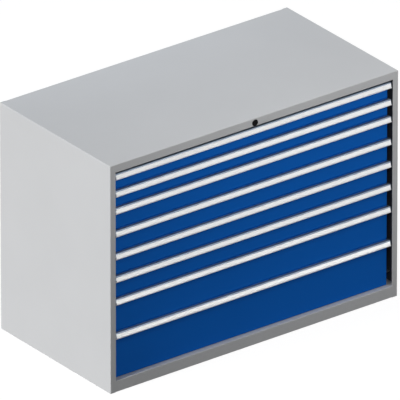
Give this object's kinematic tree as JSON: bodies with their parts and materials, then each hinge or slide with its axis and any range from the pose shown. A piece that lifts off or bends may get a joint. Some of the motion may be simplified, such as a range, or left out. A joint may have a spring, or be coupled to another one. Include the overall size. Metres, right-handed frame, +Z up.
{
  "type": "drawer cabinet",
  "caption": "Floor-standing steel cabinet with full-width drawers on roller carriages, handles with label strips, and a key lock that bars every drawer.",
  "frame": {"origin": "centre of the footprint on the floor", "axes": "+X to the right seen from the front, drawers open towards -Y, +Z up"},
  "size_m": [1.431, 0.7275, 1],
  "materials": {
    "housing_paint": "fine-textured powder coat",
    "front_paint": "satin powder coat",
    "tray_paint": "satin powder coat",
    "handle_aluminium": "blue-grey anodised extrusion",
    "label_strip": "blank white strip under clear cover",
    "zinc_steel": "zinc plated",
    "lock_black": "black"
  },
  "bodies": {
    "housing": {"left_side_panel": "housing_paint", "right_side_panel": "housing_paint", "top_panel": "housing_paint", "base_frame": "housing_paint", "rear_panel": "housing_paint", "runner_posts": "zinc_steel", "cabinet_rails": "zinc_steel", "lock_barrel": "lock_black", "bar_guides": "zinc_steel"},
    "drawer_1": {"drawer_1_tray": "tray_paint", "drawer_1_front": "front_paint", "drawer_1_handle": "handle_aluminium", "drawer_1_label": "label_strip", "drawer_1_rails": "zinc_steel"},
    "carriage_1": {"drawer_1_carriage": "zinc_steel"},
    "drawer_2": {"drawer_2_tray": "tray_paint", "drawer_2_front": "front_paint", "drawer_2_handle": "handle_aluminium", "drawer_2_label": "label_strip", "drawer_2_rails": "zinc_steel"},
    "carriage_2": {"drawer_2_carriage": "zinc_steel"},
    "drawer_3": {"drawer_3_tray": "tray_paint", "drawer_3_front": "front_paint", "drawer_3_handle": "handle_aluminium", "drawer_3_label": "label_strip", "drawer_3_rails": "zinc_steel"},
    "carriage_3": {"drawer_3_carriage": "zinc_steel"},
    "drawer_4": {"drawer_4_tray": "tray_paint", "drawer_4_front": "front_paint", "drawer_4_handle": "handle_aluminium", "drawer_4_label": "label_strip", "drawer_4_rails": "zinc_steel"},
    "carriage_4": {"drawer_4_carriage": "zinc_steel"},
    "drawer_5": {"drawer_5_tray": "tray_paint", "drawer_5_front": "front_paint", "drawer_5_handle": "handle_aluminium", "drawer_5_label": "label_strip", "drawer_5_rails": "zinc_steel"},
    "carriage_5": {"drawer_5_carriage": "zinc_steel"},
    "drawer_6": {"drawer_6_tray": "tray_paint", "drawer_6_front": "front_paint", "drawer_6_handle": "handle_aluminium", "drawer_6_label": "label_strip", "drawer_6_rails": "zinc_steel"},
    "carriage_6": {"drawer_6_carriage": "zinc_steel"},
    "drawer_7": {"drawer_7_tray": "tray_paint", "drawer_7_front": "front_paint", "drawer_7_handle": "handle_aluminium", "drawer_7_label": "label_strip", "drawer_7_rails": "zinc_steel"},
    "carriage_7": {"drawer_7_carriage": "zinc_steel"},
    "drawer_8": {"drawer_8_tray": "tray_paint", "drawer_8_front": "front_paint", "drawer_8_handle": "handle_aluminium", "drawer_8_label": "label_strip", "drawer_8_rails": "zinc_steel"},
    "carriage_8": {"drawer_8_carriage": "zinc_steel"},
    "lock_cylinder": {"lock_plug": "lock_black"},
    "draw_bar": {"draw_bar": "zinc_steel"},
    "locking_bar": {"locking_bar": "zinc_steel"}
  },
  "joints": [
    {"name": "drawer_1_slide", "type": "slide", "parent": "housing", "child": "drawer_1", "axis": [0, -1, 0], "range_m": [0, 0.62]},
    {"name": "carriage_1_slide", "type": "slide", "parent": "housing", "child": "carriage_1", "axis": [0, -1, 0], "range_m": [0, 0.31]},
    {"name": "drawer_2_slide", "type": "slide", "parent": "housing", "child": "drawer_2", "axis": [0, -1, 0], "range_m": [0, 0.62]},
    {"name": "carriage_2_slide", "type": "slide", "parent": "housing", "child": "carriage_2", "axis": [0, -1, 0], "range_m": [0, 0.31]},
    {"name": "drawer_3_slide", "type": "slide", "parent": "housing", "child": "drawer_3", "axis": [0, -1, 0], "range_m": [0, 0.62]},
    {"name": "carriage_3_slide", "type": "slide", "parent": "housing", "child": "carriage_3", "axis": [0, -1, 0], "range_m": [0, 0.31]},
    {"name": "drawer_4_slide", "type": "slide", "parent": "housing", "child": "drawer_4", "axis": [0, -1, 0], "range_m": [0, 0.62]},
    {"name": "carriage_4_slide", "type": "slide", "parent": "housing", "child": "carriage_4", "axis": [0, -1, 0], "range_m": [0, 0.31]},
    {"name": "drawer_5_slide", "type": "slide", "parent": "housing", "child": "drawer_5", "axis": [0, -1, 0], "range_m": [0, 0.62]},
    {"name": "carriage_5_slide", "type": "slide", "parent": "housing", "child": "carriage_5", "axis": [0, -1, 0], "range_m": [0, 0.31]},
    {"name": "drawer_6_slide", "type": "slide", "parent": "housing", "child": "drawer_6", "axis": [0, -1, 0], "range_m": [0, 0.62]},
    {"name": "carriage_6_slide", "type": "slide", "parent": "housing", "child": "carriage_6", "axis": [0, -1, 0], "range_m": [0, 0.31]},
    {"name": "drawer_7_slide", "type": "slide", "parent": "housing", "child": "drawer_7", "axis": [0, -1, 0], "range_m": [0, 0.62]},
    {"name": "carriage_7_slide", "type": "slide", "parent": "housing", "child": "carriage_7", "axis": [0, -1, 0], "range_m": [0, 0.31]},
    {"name": "drawer_8_slide", "type": "slide", "parent": "housing", "child": "drawer_8", "axis": [0, -1, 0], "range_m": [0, 0.62]},
    {"name": "carriage_8_slide", "type": "slide", "parent": "housing", "child": "carriage_8", "axis": [0, -1, 0], "range_m": [0, 0.31]},
    {"name": "draw_bar_slide", "type": "slide", "parent": "housing", "child": "draw_bar", "axis": [-1, 0, 0], "range_m": [0, 0.01131]},
    {"name": "lock_turn", "type": "hinge", "parent": "housing", "child": "lock_cylinder", "pos_m": [0, -0.3625, 0.9805], "axis": [0, 1, 0], "range_deg": [0, 90]},
    {"name": "locking_bar_lift", "type": "slide", "parent": "housing", "child": "locking_bar", "axis": [0, 0, 1], "range_m": [0, 0.008]}
  ],
  "couplings": [
    {"joint": "carriage_1_slide", "follows": "drawer_1_slide", "ratio": 0.5},
    {"joint": "carriage_2_slide", "follows": "drawer_2_slide", "ratio": 0.5},
    {"joint": "carriage_3_slide", "follows": "drawer_3_slide", "ratio": 0.5},
    {"joint": "carriage_4_slide", "follows": "drawer_4_slide", "ratio": 0.5},
    {"joint": "carriage_5_slide", "follows": "drawer_5_slide", "ratio": 0.5},
    {"joint": "carriage_6_slide", "follows": "drawer_6_slide", "ratio": 0.5},
    {"joint": "carriage_7_slide", "follows": "drawer_7_slide", "ratio": 0.5},
    {"joint": "carriage_8_slide", "follows": "drawer_8_slide", "ratio": 0.5},
    {"joint": "lock_turn", "follows": "draw_bar_slide", "rad_per_m": 138.84},
    {"joint": "locking_bar_lift", "follows": "draw_bar_slide", "ratio": 0.7}
  ]
}
